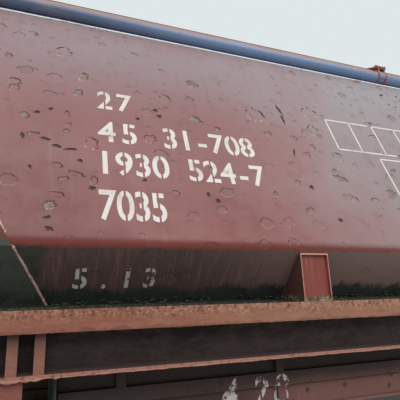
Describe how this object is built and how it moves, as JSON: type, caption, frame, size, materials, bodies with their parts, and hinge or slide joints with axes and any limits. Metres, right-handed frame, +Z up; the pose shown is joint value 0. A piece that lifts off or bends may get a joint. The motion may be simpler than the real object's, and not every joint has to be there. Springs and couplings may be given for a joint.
{
  "type": "self-discharging bogie hopper wagon",
  "caption": "Railway hopper wagon with a saddle floor, side discharge flaps, hinged roof lids and bogies with turning wheelsets.",
  "frame": {"origin": "under the middle of the wagon, level with the lowest point of the wheel flanges", "axes": "+X along the wagon to its front, +Y to its left side, +Z up; the pictured side faces -Y"},
  "size_m": [12.5406, 2.94, 3.415],
  "materials": {
    "wagon_red": "weathered gloss",
    "frame_red": "rusty matt",
    "flap_red": "weathered satin",
    "lid_grey": "weathered satin",
    "rail_yellow": "worn paint",
    "bogie_brown": "dusty matt",
    "dark_steel": "greasy matt",
    "wheel_steel": "rusty with a bright tread"
  },
  "bodies": {
    "wagon_body": {"body_side_left": "wagon_red", "top_chord_left": "wagon_red", "sole_bar_left": "frame_red", "side_struts_left": "wagon_red", "flap_hinge_beam_left": "wagon_red", "body_side_right": "wagon_red", "top_chord_right": "wagon_red", "sole_bar_right": "frame_red", "side_struts_right": "wagon_red", "flap_hinge_beam_right": "wagon_red", "end_slope_front": "wagon_red", "headstock_front": "frame_red", "buffer_cases_front": "dark_steel", "buffer_heads_front": "dark_steel", "draw_gear_front": "dark_steel", "end_platform_front": "frame_red", "end_posts_front": "frame_red", "railing_front": "rail_yellow", "ladder_front": "rail_yellow", "end_slope_rear": "wagon_red", "headstock_rear": "frame_red", "buffer_cases_rear": "dark_steel", "buffer_heads_rear": "dark_steel", "draw_gear_rear": "dark_steel", "end_platform_rear": "frame_red", "end_posts_rear": "frame_red", "railing_rear": "rail_yellow", "ladder_rear": "rail_yellow", "saddle_floor": "wagon_red", "saddle_frames": "frame_red", "outlet_dividers": "frame_red", "roof_end_beams": "wagon_red", "inner_ties": "wagon_red", "centre_sill": "frame_red", "body_bolsters": "frame_red", "hand_brake": "rail_yellow", "corner_steps": "frame_red", "brake_pipe": "dark_steel", "brake_cylinder": "dark_steel", "air_reservoir": "dark_steel"},
    "bogie_front": {"bogie_frame_front": "bogie_brown", "axle_boxes_front": "bogie_brown", "springs_front": "dark_steel", "brake_gear_front": "bogie_brown"},
    "bogie_rear": {"bogie_frame_rear": "bogie_brown", "axle_boxes_rear": "bogie_brown", "springs_rear": "dark_steel", "brake_gear_rear": "bogie_brown"},
    "wheels_1": {"wheelset_1": "wheel_steel"},
    "wheels_2": {"wheelset_2": "wheel_steel"},
    "wheels_3": {"wheelset_3": "wheel_steel"},
    "wheels_4": {"wheelset_4": "wheel_steel"},
    "flap_front_left_body": {"flap_front_left": "flap_red"},
    "lid_front_left_body": {"roof_lid_front_left": "lid_grey"},
    "flap_front_right_body": {"flap_front_right": "flap_red"},
    "lid_front_right_body": {"roof_lid_front_right": "lid_grey"},
    "flap_rear_left_body": {"flap_rear_left": "flap_red"},
    "lid_rear_left_body": {"roof_lid_rear_left": "lid_grey"},
    "flap_rear_right_body": {"flap_rear_right": "flap_red"},
    "lid_rear_right_body": {"roof_lid_rear_right": "lid_grey"}
  },
  "joints": [
    {"name": "bogie_front_pivot", "type": "hinge", "parent": "wagon_body", "child": "bogie_front", "pos_m": [3.75, 0, 0.955], "axis": [0, 0, 1], "range_deg": [-3, 3]},
    {"name": "bogie_rear_pivot", "type": "hinge", "parent": "wagon_body", "child": "bogie_rear", "pos_m": [-3.75, 0, 0.955], "axis": [0, 0, 1], "range_deg": [-3, 3]},
    {"name": "wheelset_1_spin", "type": "hinge", "parent": "bogie_front", "child": "wheels_1", "pos_m": [4.65, 0, 0.49], "axis": [0, 1, 0], "continuous": true},
    {"name": "wheelset_2_spin", "type": "hinge", "parent": "bogie_front", "child": "wheels_2", "pos_m": [2.85, 0, 0.49], "axis": [0, 1, 0], "continuous": true},
    {"name": "wheelset_3_spin", "type": "hinge", "parent": "bogie_rear", "child": "wheels_3", "pos_m": [-2.85, 0, 0.49], "axis": [0, 1, 0], "continuous": true},
    {"name": "wheelset_4_spin", "type": "hinge", "parent": "bogie_rear", "child": "wheels_4", "pos_m": [-4.65, 0, 0.49], "axis": [0, 1, 0], "continuous": true},
    {"name": "flap_front_left_hinge", "type": "hinge", "parent": "wagon_body", "child": "flap_front_left_body", "pos_m": [1.815, 1.215, 1.165], "axis": [1, 0, 0], "range_deg": [0, 30]},
    {"name": "lid_front_left_hinge", "type": "hinge", "parent": "wagon_body", "child": "lid_front_left_body", "pos_m": [2.4, 0.625, 3.308], "axis": [-1, 0, 0], "range_deg": [0, 115]},
    {"name": "flap_front_right_hinge", "type": "hinge", "parent": "wagon_body", "child": "flap_front_right_body", "pos_m": [1.815, -1.215, 1.165], "axis": [-1, 0, 0], "range_deg": [0, 30]},
    {"name": "lid_front_right_hinge", "type": "hinge", "parent": "wagon_body", "child": "lid_front_right_body", "pos_m": [2.4, -0.625, 3.308], "axis": [1, 0, 0], "range_deg": [0, 115]},
    {"name": "flap_rear_left_hinge", "type": "hinge", "parent": "wagon_body", "child": "flap_rear_left_body", "pos_m": [-1.815, 1.215, 1.165], "axis": [1, 0, 0], "range_deg": [0, 30]},
    {"name": "lid_rear_left_hinge", "type": "hinge", "parent": "wagon_body", "child": "lid_rear_left_body", "pos_m": [-2.4, 0.625, 3.308], "axis": [-1, 0, 0], "range_deg": [0, 115]},
    {"name": "flap_rear_right_hinge", "type": "hinge", "parent": "wagon_body", "child": "flap_rear_right_body", "pos_m": [-1.815, -1.215, 1.165], "axis": [-1, 0, 0], "range_deg": [0, 30]},
    {"name": "lid_rear_right_hinge", "type": "hinge", "parent": "wagon_body", "child": "lid_rear_right_body", "pos_m": [-2.4, -0.625, 3.308], "axis": [1, 0, 0], "range_deg": [0, 115]}
  ]
}
